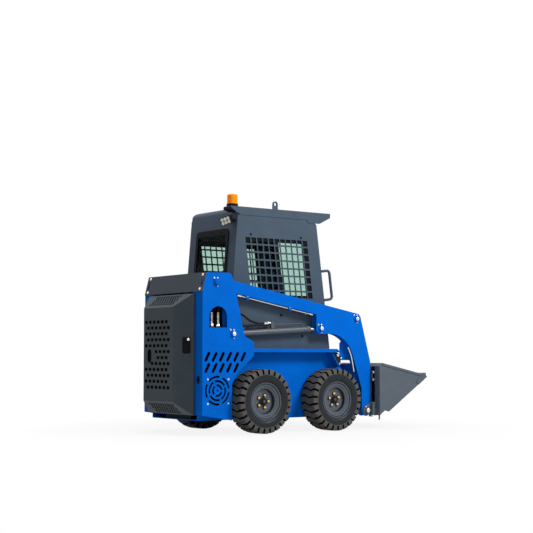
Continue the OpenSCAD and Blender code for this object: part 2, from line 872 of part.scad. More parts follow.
// First hole of a row: three rows make room for the grip
function first_hole(j) = j == 5 ? 2 : j == 6 ? 3 : j == 7 ? 1 : 0;
module door_form(t) {
    intersection() {
        translate([0, 0, rear_door_z0 + t])
            linear_extrude(rear_door_z1 - rear_door_z0 - 2 * t)
                polygon([[-door_base, base_half - t], [-door_base, t - base_half],
                    [-door_base - 14, t - base_half], [-door_reach + t, t - face_half],
                    [-door_reach + t, face_half - t], [-door_base - 14, base_half - t]]);
        slab(-base_half, base_half)
            polygon([[-door_base, rear_door_z0 + t], [-door_base - 14, rear_door_z0 + t],
                [-door_reach + t, face_z0 + t], [-door_reach + t, face_z1 - t],
                [-door_base - 14, rear_door_z1 - t], [-door_base, rear_door_z1 - t]]);
    }
}
module rear_door() {
    color("dimgray")
        centred()
            difference() {
                door_form(0);
                intersection() {
                    door_form(sheet_t);
                    translate([-door_reach - 1, -base_half, 0])
                        cube([door_reach - door_base - 3, 2 * base_half, roof_z]);
                }
                facing(-door_reach - 10, -door_reach + 30)
                    for (j = [0:11])
                        for (i = [first_hole(j):5])
                            translate([207 - 69 * i - 35 * (j % 2), face_z1 - 129 - 53.4 * j])
                                slot([-11, 0], [11, 0], 15);
                facing(-door_reach - 10, -door_reach + 30)
                    slot([150, 668], [150, 728], 34);
                grille(face_z1 + 63);
                grille(face_z0 - 62);
            }
    color("dimgray")
        centred()
            for (z = hinge_zs) {
                translate([-hinge_px, hinge_py, z])
                    cylinder(r = knuckle_r, h = hinge_h);
                translate([-door_base - 12, base_half - 6, z])
                    cube([12, hinge_py - base_half + 6, hinge_h]);
            }
}

// Paddle latch on the right bevel of the rear door
bevel_a = [-door_base - 14, -base_half];
bevel_b = [-door_reach, -face_half];
latch_p = bevel_a + 0.33 * (bevel_b - bevel_a);
latch_w = 72;
latch_h = 142;
latch_t = 9;
module door_latch() {
    color("black")
        centred()
            translate([latch_p[0], latch_p[1], (rear_door_z0 + rear_door_z1) / 2 + 78])
                rotate([0, 0, atan2(bevel_b[1] - bevel_a[1], bevel_b[0] - bevel_a[0])])
                    translate([0, run_gap + latch_t, 0])
                        rotate([90, 0, 0])
                            linear_extrude(latch_t)
                                round_rect(-latch_w / 2, -latch_h / 2, latch_w / 2, latch_h / 2, 13);
}

// Front door frame with its hinge knuckles
leaf_half = open_half - door_gap;
leaf_z0 = open_z0 + door_gap;
leaf_z1 = open_z1 - door_gap;
pane_edge = 44;
module front_door() {
    color("black")
        centred() {
            difference() {
                slab(-leaf_half, leaf_half)
                    front_strip(leaf_z0, leaf_z1, inset, inset + door_t);
                slab(-leaf_half + pane_edge, leaf_half - pane_edge)
                    front_strip(leaf_z0 + pane_edge, leaf_z1 - pane_edge, -20, inset + door_t + 20);
                for (z = [open_z0 + 150, open_z1 - 230])
                    knuckle(z + 40.1, z + 82, 10);
            }
            for (z = [open_z0 + 150, open_z1 - 230])
                knuckle(z, z + 40, 8);
            slab(leaf_half - 34, leaf_half - 10)
                front_strip(1240, 1380, inset - 22, inset);
        }
}

// Front door pane
module front_glass() {
    color("honeydew")
        centred()
            slab(-leaf_half + pane_edge, leaf_half - pane_edge)
                front_strip(leaf_z0 + pane_edge, leaf_z1 - pane_edge, inset + 10, inset + 10 + glass_t);
}

// Box arm on the right
arm_side = concat(arc(pivot, arm_depth / 2 * cos(arm_angle), 90 + arm_angle, 270 + arm_angle, 10),
    [[lobe_x, arm_under(lobe_x)]], arc(lift_pin, lobe_r, 180, 275, 6), arc(arch_c, arch_r, 95, 15, 10),
    [[leg_rear - 27, 471], [leg_rear, 383]], arc(hinge, leg_w / 2, 180, 360, 12),
    [[leg_front, leg_top_z], [knee_top[0] + 22, knee_top_z - 27], knee_top]);
gusset = [arch_c + [204, 243], arch_c + [175, 206], arch_c + [175, 45], arch_c + [330, 45], arch_c + [250, 200]];
module arm() {
    difference() {
        union() {
            slab(arm_out - arm_t, arm_out)
                polygon(arm_side);
            slab(arm_in, arm_in + arm_t) {
                polygon(arm_side);
                polygon(gusset);
            }
            slab(arm_in, arm_out) {
                polygon([[pivot[0] + 80, arm_top(pivot[0] + 80)], [pivot[0] + 80, arm_top(pivot[0] + 80) - arm_t],
                    knee_top - [0, arm_t], knee_top]);
                polygon([[pivot[0] + 80, arm_under(pivot[0] + 80)], [lobe_x, arm_under(lobe_x)],
                    [lobe_x, arm_under(lobe_x) + arm_t], [pivot[0] + 80, arm_under(pivot[0] + 80) + arm_t]]);
                polygon([[leg_front, leg_top_z], [knee_top[0] + 22, knee_top_z - 27], knee_top,
                    knee_top - [0, arm_t], [knee_top[0] + 16, knee_top_z - 32], [leg_front - arm_t, leg_top_z]]);
                polygon(concat(arc(arch_c, arch_r, 95, 15, 10), arc(arch_c, arch_r + arm_t, 15, 95, 10)));
            }
            cross_bar(pivot, pivot_d / 2 + 14, arm_in, arm_out);
            cross_bar(knee, knee_pin_r, arm_in, arm_out + pin_out);
            cross_bar(knee, knee_pin_r + 10, arm_out - eps, arm_out + 6);
            cross_bar(lift_pin, lift_pin_d / 2, arm_out - eps, arm_out + pin_out);
            cross_bar(lift_pin, lift_pin_d / 2 + 9, arm_out - eps, arm_out + 6);
        }
        cross_bar(pivot, pivot_d / 2 + run_gap, arm_in - 1, arm_out + 1);
        cross_bar(hinge, hinge_pin_r + run_gap, arm_in - 1, arm_out + 1);
    }
}
module arm_right() {
    color("royalblue")
        centred()
            arm();
}
module arm_left() {
    color("royalblue")
        centred()
            mirror([0, 1, 0])
                arm();
}

// Cross tube between the legs
tube_x = leg_rear + 30;
tube_z = 560;
module cross_tube() {
    color("royalblue")
        centred()
            slab(-arm_in, arm_in)
                difference() {
                    translate([tube_x - 50, tube_z - 60])
                        square([100, 120]);
                    translate([tube_x - 42, tube_z - 52])
                        square([84, 104]);
                }
}

// Steel pipes along the arms' undersides
pipe_y = cyl_y + 12;
module arm_pipes() {
    color("silver")
        centred()
            both() {
                tube([[pivot[0] + 250, -pipe_y, arm_under(pivot[0] + 250) - 9],
                    [lobe_x - 30, -pipe_y, arm_under(lobe_x - 30) - 9]], 7);
                for (x = [pivot[0] + 340, pivot[0] + 820])
                    slab(pipe_y - 16, pipe_y + 16)
                        polygon([[x, arm_under(x)], [x, arm_under(x) - 22], [x + 26, arm_under(x + 26) - 22],
                            [x + 26, arm_under(x + 26)]]);
            }
}

// Lift cylinder barrels
barrel_len = lift_len - 112;
port_at = 452;
boss_at = 86;
boss_top = lift_barrel_d / 2 + 8;
module lift_barrels() {
    color("gray")
        centred()
            both()
                difference() {
                    union() {
                        along(foot, lift_a, cyl_y)
                            translate([0, 0, 20])
                                cylinder(r = lift_barrel_d / 2, h = barrel_len - 20);
                        along(foot, lift_a, cyl_y)
                            translate([0, 0, barrel_len - 44])
                                cylinder(r = lift_barrel_d / 2 + 3, h = 44);
                        cross_bar(foot, lift_pin_d / 2 + 18, cyl_y - 28, cyl_y + 28);
                        along(foot, lift_a, cyl_y)
                            translate([-lift_barrel_d / 2 - 62, -13, port_at])
                                cube([70, 26, 36]);
                        along(foot, lift_a, cyl_y)
                            translate([-boss_top, 0, boss_at])
                                rotate([0, 90, 0])
                                    cylinder(r = hose_r + 4, h = boss_top);
                    }
                    cross_bar(foot, lift_pin_d / 2 + run_gap, cyl_y - 30, cyl_y + 30);
                    along(foot, lift_a, cyl_y)
                        translate([0, 0, 120])
                            cylinder(r = lift_rod_d / 2 + run_gap, h = barrel_len);
                }
}

// Hoses from the barrel port back to a boss near the foot
hose_r = 10;
hose_bend = 30;
module lift_hoses() {
    color("black")
        centred()
            both()
                along(foot, lift_a, cyl_y) {
                    translate([-boss_top - hose_bend, 0, boss_at + hose_bend])
                        cylinder(r = hose_r, h = port_at - boss_at - hose_bend);
                    translate([-boss_top, 0, boss_at + hose_bend])
                        rotate([90, 0, 0])
                            rotate([0, 0, 180])
                                rotate_extrude(angle = 90)
                                    translate([hose_bend, 0])
                                        circle(r = hose_r);
                }
}

// Lift cylinder rods
module lift_rods() {
    color("silver")
        centred()
            both()
                difference() {
                    union() {
                        along(foot, lift_a, cyl_y)
                            translate([0, 0, 230])
                                cylinder(r = lift_rod_d / 2, h = lift_len - 230);
                        cross_bar(lift_pin, 34, cyl_y - 23, cyl_y + 23);
                    }
                    cross_bar(lift_pin, lift_pin_d / 2, cyl_y - 30, cyl_y + 30);
                }
}

// Tilt cylinder barrels
tilt_barrel_len = tilt_len - 90;
module tilt_barrels() {
    color("gray")
        centred()
            both()
                difference() {
                    union() {
                        along(knee, tilt_a, cyl_y)
                            translate([0, 0, 16])
                                cylinder(r = tilt_barrel_d / 2, h = tilt_barrel_len - 16);
                        cross_bar(knee, 32, cyl_y - 24, cyl_y + 24);
                    }
                    cross_bar(knee, knee_pin_r + run_gap, cyl_y - 30, cyl_y + 30);
                    along(knee, tilt_a, cyl_y)
                        translate([0, 0, 80])
                            cylinder(r = tilt_rod_d / 2 + run_gap, h = tilt_barrel_len);
                }
}

// Tilt cylinder rods
module tilt_rods() {
    color("silver")
        centred()
            both()
                difference() {
                    union() {
                        along(knee, tilt_a, cyl_y)
                            translate([0, 0, 100])
                                cylinder(r = tilt_rod_d / 2, h = tilt_len - 100);
                        cross_bar(tilt_pin, 29, cyl_y - 12, cyl_y + 12);
                    }
                    cross_bar(tilt_pin, 15, cyl_y - 30, cyl_y + 30);
                }
}

// Quick coupler with its ears, rod lugs and pivot pins
// Free space between the two lugs of a tilt rod
eye_gap = 32;
ear_side = [[hinge[0] - 8, hinge_z + 46], [coupler_x + 4, hinge_z + 84], [coupler_x + 4, hinge_z - 46],
    [hinge[0], hinge_z - 46]];
lug_side = [tilt_pin + [-10, 30], [coupler_x + 4, tilt_pin[1] + 60], [coupler_x + 4, tilt_pin[1] - 60],
    tilt_pin + [-10, -30]];
module coupler() {
    color("dimgray")
        centred() {
            facing(coupler_x, coupler_x + coupler_t)
                difference() {
                    translate([-coupler_half, hinge_z - 50])
                        square([2 * coupler_half, bucket_rise + 20]);
                    for (y = [-cyl_y, cyl_y])
                        translate([y - eye_gap / 2, hinge_z + 50])
                            square([eye_gap, 155]);
                }
            both() {
                for (y = [arm_out + 4, arm_in - 16])
                    slab(y, y + 12) {
                        polygon(ear_side);
                        translate(hinge)
                            circle(r = 46);
                    }
                slab(arm_out + 4, coupler_half)
                    polygon([[hinge[0] + 42, hinge_z + 66], [coupler_x + 4, hinge_z + 84],
                        [coupler_x + 4, hinge_z - 46], [hinge[0] + 42, hinge_z - 46]]);
                for (y = [cyl_y - eye_gap / 2 - 8, cyl_y + eye_gap / 2])
                    difference() {
                        slab(y, y + 8) {
                            polygon(lug_side);
                            translate(tilt_pin)
                                circle(r = 30);
                        }
                        cross_bar(tilt_pin, 15, y - 1, y + 9);
                    }
                cross_bar(hinge, hinge_pin_r, arm_in - 18, arm_out + 16 + pin_out);
                cross_bar(hinge, hinge_pin_r + 8, arm_out + 16 - eps, arm_out + 22);
                slab(cyl_y - 12, cyl_y + 12)
                    polygon([[coupler_x + 2, hinge_z - 40], [coupler_x + 12, hinge_z - 40],
                        [coupler_x + 12, hinge_z - 56], [coupler_x + 34, hinge_z - 56],
                        [coupler_x + 34, hinge_z - 64], [coupler_x + 2, hinge_z - 64]]);
            }
        }
}

// Bucket with side plates, back, floor, top fold and cutting edge
side_half = bucket_w / 2;
side_top = [back_x + 36, hinge_z + bucket_rise + 30];
side_end = floor_tip - 44 * floor_dir + [-8, 18];
band_t = 6;
band_w = 22;
cutter_l = 137;
tongue_t = 10;
tongue_h = 42;
bucket_side = [heel, heel + [65, 45], heel + 117 * [1, 0] + [0, 33], edge_tip - 120 * floor_dir, edge_tip,
    floor_tip, side_end, side_top, [back_x, hinge_z + bucket_rise]];
module bucket() {
    color("gray")
        centred() {
            both()
                slab(side_half - bucket_t, side_half)
                    polygon(bucket_side);
            both()
                slab(side_half - eps, side_half + band_t) {
                    polygon([side_top, side_end, side_end - [0, band_w], side_top - [0, band_w]]);
                    polygon([floor_tip, edge_tip, edge_tip - cutter_l * floor_dir,
                        floor_tip - cutter_l * floor_dir]);
                }
            both()
                slab(side_half - 2 * tongue_t, side_half - tongue_t)
                    polygon([heel + [0, 10], heel + [12, 10], heel + [10, -tongue_h], heel - [0, tongue_h]]);
            slab(-side_half, side_half) {
                translate([back_x, hinge_z - 48])
                    square([bucket_t, bucket_rise + 48]);
                polygon([heel, floor_tip - 44 * floor_dir, floor_tip - 44 * floor_dir + 10 * floor_up,
                    heel + 10 * floor_up + [12, 0]]);
                polygon([[back_x, hinge_z + bucket_rise], [back_x + 36, hinge_z + bucket_rise + 30],
                    [back_x + 44, hinge_z + bucket_rise + 22], [back_x + 8, hinge_z + bucket_rise - 10]]);
                polygon([floor_tip - 150 * floor_dir + 2 * floor_up, floor_tip - 44 * floor_dir + 2 * floor_up,
                    floor_tip + 20 * floor_dir - 12 * floor_up, floor_tip + 12 * floor_dir - 22 * floor_up,
                    floor_tip - 150 * floor_dir - 22 * floor_up]);
            }
        }
}

// Rim with its stepped cone, dish, hub and nuts, turning about Z with the outer side up
flange_w = tyre_w / 2 - 13;
seat_w = flange_w - 8;
rim_t = 7;
disc_t = 9;
bore_r = 25;
nut_r = 11;
rear_turn = 1;
front_turn = 21;
cone = [[rim_r + flange_h, seat_w], [rim_r + flange_h, flange_w], [rim_r + flange_h - 8, flange_w],
    [rim_r + flange_h - 12, flange_w - 6], [dish_r + 24, flange_w - 11], [dish_r + 20, flange_w - 17],
    [dish_r + 5, flange_w - 21], [dish_r, flange_w - 30], [dish_r, hub_w], [dish_r + rim_t, hub_w],
    [dish_r + rim_t, flange_w - 34], [rim_r - rim_t, flange_w - 21]];
module rim(turn) {
    difference() {
        union() {
            rotate_extrude()
                polygon(concat([[rim_r - rim_t, -flange_w], [rim_r + flange_h, -flange_w],
                    [rim_r + flange_h, -seat_w], [rim_r - run_gap, -seat_w], [rim_r - run_gap, seat_w]], cone));
            translate([0, 0, hub_w])
                cylinder(r = dish_r + rim_t / 2, h = disc_t);
            translate([0, 0, hub_w - 26])
                cylinder(r = 46, h = 30);
            translate([0, 0, hub_w])
                cylinder(r = 34, h = 26);
            for (a = [0:72:288])
                rotate(a + turn)
                    translate([nut_circle / 2, 0, hub_w + 4])
                        cylinder(r = nut_r, h = 20);
        }
        translate([0, 0, -flange_w - 1])
            cylinder(r = bore_r + run_gap, h = flange_w + 1 + hub_w - 4);
    }
}

// Tyre with lugs along both shoulders, turning about Z with the outer side up, as rings of places
rib_half = 26;
tread_half = tyre_w / 2 - 18;
bead_r = rim_r + 1;
bead_out = rim_r + flange_h + 3;
lug_a = 360 / lugs;
lug_half = lug_a / 2 - groove_w / tyre_r * 90 / PI;
function on_ring(r, a, w) = [r * cos(90 + lug_half + a), r * sin(90 + lug_half + a), w];
// One place per lug
function plain_ring(r, w, shift) = [for (i = [0:lugs - 1]) on_ring(r, (i + shift) * lug_a, w)];
// Both edges of every lug and the bottom of the groove behind it
function lug_ring(r, cut, w, shift) = [for (i = [0:lugs - 1]) each [
    on_ring(r, (i + shift) * lug_a - lug_half, w),
    on_ring(r, (i + shift) * lug_a + lug_half, w),
    on_ring(r - cut, (i + shift + 0.5) * lug_a, w)]];
tyre_points = concat(plain_ring(bead_r, seat_w, 0), plain_ring(bead_out, seat_w, 0),
    plain_ring(tyre_r - 88, tyre_w / 2 - 1, 0), lug_ring(tyre_r - 48, 0, tyre_w / 2, 0),
    lug_ring(tyre_r, groove_d, tread_half, 0), lug_ring(tyre_r, 0, rib_half, 0),
    lug_ring(tyre_r, 0, -rib_half, 0.5), lug_ring(tyre_r, groove_d, -tread_half, 0.5),
    lug_ring(tyre_r - 48, 0, -tyre_w / 2, 0.5), plain_ring(tyre_r - 88, 1 - tyre_w / 2, 0.5),
    plain_ring(bead_out, -seat_w, 0.5), plain_ring(bead_r, -seat_w, 0.5));
// Faces between two rings of n places that start at a and b
function band(a, b, n) = [for (i = [0:n - 1]) each [[a + i, b + (i + 1) % n, b + i],
    [a + i, a + (i + 1) % n, b + (i + 1) % n]]];
// Faces from a plain ring at a out to a lug ring at b, and back in again
function fan_out(a, b) = [for (i = [0:lugs - 1]) each [[a + i, b + 3 * i + 1, b + 3 * i],
    [a + i, b + 3 * i + 2, b + 3 * i + 1], [a + i, a + (i + 1) % lugs, b + 3 * i + 2],
    [a + (i + 1) % lugs, b + 3 * ((i + 1) % lugs), b + 3 * i + 2]]];
function fan_in(a, b) = [for (i = [0:lugs - 1]) each [[a + 3 * i, a + 3 * i + 1, b + i],
    [a + 3 * i + 1, a + 3 * i + 2, b + i], [a + 3 * i + 2, b + (i + 1) % lugs, b + i],
    [a + 3 * i + 2, a + 3 * ((i + 1) % lugs), b + (i + 1) % lugs]]];
module tyre() {
    lug_0 = 3 * lugs;
    side_b = lug_0 + 18 * lugs;
    polyhedron(tyre_points, concat(band(0, lugs, lugs), band(lugs, 2 * lugs, lugs), fan_out(2 * lugs, lug_0),
        [for (k = [0:4]) each band(lug_0 + 3 * k * lugs, lug_0 + 3 * (k + 1) * lugs, 3 * lugs)],
        fan_in(side_b - 3 * lugs, side_b), band(side_b, side_b + lugs, lugs),
        band(side_b + lugs, side_b + 2 * lugs, lugs), band(side_b + 2 * lugs, 0, lugs)));
}
module at_wheel(x, side) {
    centred()
        translate([x, side * track / 2, tyre_r])
            rotate([-90 * side, 0, 0])
                children();
}
module rim_rear_right() {
    color("dimgray")
        at_wheel(0, -1)
            rim(rear_turn);
}
module rim_rear_left() {
    color("dimgray")
        at_wheel(0, 1)
            rim(rear_turn);
}
module rim_front_right() {
    color("dimgray")
        at_wheel(wheelbase, -1)
            rim(front_turn);
}
module rim_front_left() {
    color("dimgray")
        at_wheel(wheelbase, 1)
            rim(front_turn);
}
module tyre_rear_right() {
    color("black")
        at_wheel(0, -1)
            tyre();
}
module tyre_rear_left() {
    color("black")
        at_wheel(0, 1)
            tyre();
}
module tyre_front_right() {
    color("black")
        at_wheel(wheelbase, -1)
            tyre();
}
module tyre_front_left() {
    color("black")
        at_wheel(wheelbase, 1)
            tyre();
}

chassis_tub();
tower_right();
tower_left();
rear_frame();
hood();
exhaust();
engine_block();
axle_stubs();
cab_floor();
cab_side_right();
cab_side_left();
cab_rear();
cab_roof();
cab_front();
window_frames();
side_glass();
rear_glass();
seat_base();
seat_pads();
controls();
grab_handles();
lifting_eyes();
beacon_base();
beacon_lens();
work_lamp();
tower_hoses();
rear_door();
door_latch();
front_door();
front_glass();
arm_right();
arm_left();
cross_tube();
arm_pipes();
lift_barrels();
lift_hoses();
lift_rods();
tilt_barrels();
tilt_rods();
coupler();
bucket();
rim_rear_right();
rim_rear_left();
rim_front_right();
rim_front_left();
tyre_rear_right();
tyre_rear_left();
tyre_front_right();
tyre_front_left();
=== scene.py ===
import json
import math

import bmesh
import bpy
from mathutils import Matrix, Vector


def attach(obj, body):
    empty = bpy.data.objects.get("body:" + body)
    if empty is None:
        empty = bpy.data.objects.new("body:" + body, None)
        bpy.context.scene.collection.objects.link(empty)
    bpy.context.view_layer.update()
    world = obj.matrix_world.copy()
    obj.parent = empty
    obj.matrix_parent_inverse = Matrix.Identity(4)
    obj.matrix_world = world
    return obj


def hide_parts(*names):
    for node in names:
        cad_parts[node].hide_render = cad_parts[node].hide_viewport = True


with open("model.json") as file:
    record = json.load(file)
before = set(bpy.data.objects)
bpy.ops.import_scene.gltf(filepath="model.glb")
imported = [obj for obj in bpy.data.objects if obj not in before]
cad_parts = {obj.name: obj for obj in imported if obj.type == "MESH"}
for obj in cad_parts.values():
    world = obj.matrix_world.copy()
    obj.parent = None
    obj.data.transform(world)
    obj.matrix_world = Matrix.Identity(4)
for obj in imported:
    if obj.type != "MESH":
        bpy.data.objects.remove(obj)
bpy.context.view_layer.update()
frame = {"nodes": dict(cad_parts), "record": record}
MM = 0.001

# Sizes of the part in mm: lengths from the rear axle, widths from the middle, heights from the ground
MID = 598.907   # the row's origin
WHEELBASE, AXLE_Y, TYRE_R, HUB_W = 824, 495, 290, 30
PIVOT, FOOT, LIFT_PIN, KNEE, HINGE = (-470, 1352), (-293, 894), (716, 955), (1153, 1054), (1270, 177)
PIN_OUT = 20
TOWER_REAR = -622
TOWER, INNER, ARM, EAR, TUB, CAB = 494, 401, 480, 496, 382, 389
CYLINDER_Y, PIPE_Y, LEG_LINE_Y, HOSE_Y = 443.5, 455.5, 468, 419
COUPLER_X, COUPLER_HALF = 1344, 528


def at(x, y, z):
    """A place in millimetres from the rear axle, as a point in the row frame."""
    return Vector((x - MID, y, z)) * MM


# Materials
def principled(name):
    """A new material with its node tree and its main shader."""
    m = bpy.data.materials.new(name)
    m.use_nodes = True
    return m, m.node_tree, m.node_tree.nodes["Principled BSDF"]


def material(name, color, rough, metal=0.0, vary=0.06, scale=9.0, bump=0.0, grain=260.0, spec=0.4):
    """A finish whose colour and roughness wander with noise, over a fine grain."""
    m, t, b = principled(name)
    b.inputs["Metallic"].default_value = metal
    b.inputs["Specular IOR Level"].default_value = spec
    place = t.nodes.new("ShaderNodeTexCoord")
    cloud = t.nodes.new("ShaderNodeTexNoise")
    cloud.inputs["Scale"].default_value = scale
    cloud.inputs["Detail"].default_value = 5.0
    t.links.new(place.outputs["Object"], cloud.inputs["Vector"])
    ramp = t.nodes.new("ShaderNodeValToRGB")
    low, high = ramp.color_ramp.elements
    low.position, high.position = 0.3, 0.7
    low.color = (*[c * (1 - vary) for c in color], 1)
    high.color = (*[min(1.0, c * (1 + vary)) for c in color], 1)
    t.links.new(cloud.outputs["Fac"], ramp.inputs["Fac"])
    t.links.new(ramp.outputs["Color"], b.inputs["Base Color"])
    span = t.nodes.new("ShaderNodeMapRange")
    span.inputs["To Min"].default_value = max(0.03, rough - 0.06)
    span.inputs["To Max"].default_value = min(1.0, rough + 0.06)
    t.links.new(cloud.outputs["Fac"], span.inputs["Value"])
    t.links.new(span.outputs["Result"], b.inputs["Roughness"])
    if bump:
        fine = t.nodes.new("ShaderNodeTexNoise")
        fine.inputs["Scale"].default_value = grain
        fine.inputs["Detail"].default_value = 3.0
        t.links.new(place.outputs["Object"], fine.inputs["Vector"])
        lift = t.nodes.new("ShaderNodeBump")
        lift.inputs["Strength"].default_value = bump
        lift.inputs["Distance"].default_value = 0.0015
        t.links.new(fine.outputs["Fac"], lift.inputs["Height"])
        t.links.new(lift.outputs["Normal"], b.inputs["Normal"])
    return m


def glass(name, tint, shine):
    """Thin pane that tints what is behind it, with a faint reflection and a noise-driven unevenness."""
    m, t, b = principled(name)
    b.inputs["Base Color"].default_value = (0.01, 0.02, 0.018, 1)
    b.inputs["Roughness"].default_value = 0.05
    place = t.nodes.new("ShaderNodeTexCoord")
    cloud = t.nodes.new("ShaderNodeTexNoise")
    cloud.inputs["Scale"].default_value = 3.0
    t.links.new(place.outputs["Object"], cloud.inputs["Vector"])
    ramp = t.nodes.new("ShaderNodeValToRGB")
    ramp.color_ramp.elements[0].color = (*[c * 0.94 for c in tint], 1)
    ramp.color_ramp.elements[1].color = (*tint, 1)
    t.links.new(cloud.outputs["Fac"], ramp.inputs["Fac"])
    clear = t.nodes.new("ShaderNodeBsdfTransparent")
    t.links.new(ramp.outputs["Color"], clear.inputs["Color"])
    mix = t.nodes.new("ShaderNodeMixShader")
    mix.inputs["Fac"].default_value = shine
    t.links.new(clear.outputs["BSDF"], mix.inputs[1])
    t.links.new(b.outputs["BSDF"], mix.inputs[2])
    t.links.new(mix.outputs["Shader"], t.nodes["Material Output"].inputs["Surface"])
    return m


BLUE = material("blue", (0.0, 0.114, 0.535), 0.45, bump=0.04, spec=0.03)
DARK = material("dark_grey", (0.046, 0.060, 0.072), 0.45, bump=0.08, spec=0.08)
SLATE = material("slate", (0.050, 0.074, 0.104), 0.45, bump=0.06, spec=0.1)
BUCKET = material("bucket", (0.085, 0.104, 0.125), 0.48, bump=0.08, spec=0.12)
BARREL = material("barrel", (0.075, 0.088, 0.102), 0.35, bump=0.05, spec=0.25)
CHROME = material("chrome", (0.42, 0.43, 0.44), 0.22, metal=1.0, vary=0.02)
ZINC = material("zinc", (0.74, 0.73, 0.68), 0.3, metal=1.0)
# Near-black iron, also used as painted shade in the rims' dishes and on the blocks under the ledges
IRON_AND_PAINTED_SHADE = material("iron_and_painted_shade", (0.012, 0.013, 0.015), 0.6, bump=0.3, spec=0.08)
RIM = material("rim", (0.060, 0.075, 0.095), 0.2, bump=0.03, spec=0.4)
TREAD = material("tread", (0.085, 0.082, 0.077), 0.85, vary=0.2, scale=40, bump=0.35, spec=0.08)
WALL = material("sidewall", (0.016, 0.020, 0.024), 0.42, vary=0.12, scale=22, bump=0.1, spec=0.12)
# Near-black painted shade: on the tyres' grooves and on the sheets behind slots, windows and grilles, in
# place of the shade inside them
PAINTED_SHADE = material("groove", (0.004, 0.004, 0.004), 0.95, vary=0.2, scale=40, spec=0.02)
BLACK = material("black", (0.004, 0.005, 0.006), 0.45, bump=0.1, spec=0.05)
SEAT = material("seat", (0.012, 0.012, 0.014), 0.55, bump=0.45, grain=420, spec=0.1)
HOSE = material("hose", (0.005, 0.005, 0.006), 0.5, bump=0.15, spec=0.1)
GLASS = glass("glass", (0.84, 0.94, 0.90), 0.05)
AMBER = material("amber", (1.0, 0.26, 0.0), 0.25, vary=0.08, scale=30, spec=0.12)
BRASS = material("brass", (0.72, 0.50, 0.24), 0.34, metal=1.0, vary=0.1)
LED = material("led", (0.80, 0.78, 0.70), 0.25, vary=0.05, scale=60)

FINISH = {
    "blue_paint": BLUE, "dark_grey_paint": DARK, "slate_paint": SLATE, "bucket_grey": BUCKET,
    "cylinder_grey": BARREL, "rod_chrome": CHROME, "zinc": ZINC, "cast_dark": IRON_AND_PAINTED_SHADE, "rim_grey": RIM,
    "tyre_rubber": WALL, "black_plastic": BLACK, "seat_cover": SEAT, "hose_rubber": HOSE,
    "tinted_glass": GLASS, "amber": AMBER,
}
for part in frame["record"]["subparts"]:
    solid = frame["nodes"][part["node"]]
    solid.data.materials.clear()
    solid.data.materials.append(FINISH[part["material_slot"]])


# Mesh helpers
def piece(bm, name, body, mats, angle=35):
    """Turns a bmesh into an object on a body, smooth apart from its sharp edges."""
    bmesh.ops.recalc_face_normals(bm, faces=bm.faces)
    for f in bm.faces:
        f.smooth = True
    for e in bm.edges:
        e.smooth = len(e.link_faces) == 2 and e.calc_face_angle(0) < math.radians(angle)
    mesh = bpy.data.meshes.new(name)
    bm.to_mesh(mesh)
    bm.free()
    o = bpy.data.objects.new(name, mesh)
    bpy.context.collection.objects.link(o)
    for m in mats:
        mesh.materials.append(m)
    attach(o, body)
    return o


def turned(bm, origin, axis, profile, sides=24, mat=0, spin=0.0, hollow=False):
    """Adds a turned form, solid or a ring: (radius, height) pairs in mm about an axis."""
    to = Matrix.Translation(origin) @ Vector(axis).to_track_quat("Z", "Y").to_matrix().to_4x4()
    rings = []
    for r, h in profile:
        ring = []
        for i in range(sides):
            a = 2 * math.pi * i / sides + spin
            ring.append(bm.verts.new(to @ (Vector((r * math.cos(a), r * math.sin(a), h)) * MM)))
        rings.append(ring)
    ends = [] if hollow else [rings[0], rings[-1]]
    for low, high in zip(rings, rings[1:] + rings[:1] if hollow else rings[1:]):
        for i in range(sides):
            j = (i + 1) % sides
            bm.faces.new((low[i], low[j], high[j], high[i])).material_index = mat
    for end in ends:
        bm.faces.new(end).material_index = mat


def bolt(bm, place, axis, r=9.0, h=7.0):
    """Adds a hexagon head with a chamfer, on a washer."""
    turned(bm, place, axis, [(1.5 * r, -0.5), (1.5 * r, 1.2), (1.42 * r, 1.8)], 20)
    turned(bm, place, axis, [(r, 1.5), (r, h - 1.2), (0.84 * r, h)], 6)


def block(bm, lo, hi, mat=0, turn=None):
    """Adds a box between two corners in mm, with its edges eased, turned about its middle."""
    mid = (Vector(lo) + Vector(hi)) / 2
    half = (Vector(hi) - Vector(lo)) / 2
    made = bmesh.ops.create_cube(bm, size=2.0)["verts"]
    ease = min(half) * 0.25
    faces = {f for v in made for f in v.link_faces}
    bmesh.ops.transform(bm, matrix=Matrix.Diagonal((*half, 1)), verts=made)
    edges = {e for v in made for e in v.link_edges}
    new = bmesh.ops.bevel(bm, geom=list(edges), offset=ease, segments=2, affect="EDGES")
    kept = [f for f in faces if f.is_valid]
    verts = set(new["verts"]) | {v for f in [*new["faces"], *kept] for v in f.verts}
    for f in {f for v in verts for f in v.link_faces}:
        f.material_index = mat
    spin = turn.to_4x4() if turn else Matrix.Identity(4)
    place = Matrix.Translation(at(*mid)) @ spin @ Matrix.Scale(MM, 4)
    bmesh.ops.transform(bm, matrix=place, verts=list(verts))


def prism(bm, outline, y0, y1, mat=0):
    """Adds a plate of (x, z) corners between two distances across, in mm."""
    rings = [[bm.verts.new(at(x, y, z)) for x, z in outline] for y in (y0, y1)]
    low, high = rings
    for i in range(len(low)):
        bm.faces.new((low[i - 1], low[i], high[i], high[i - 1])).material_index = mat
    for ring in rings:
        bm.faces.new(ring).material_index = mat


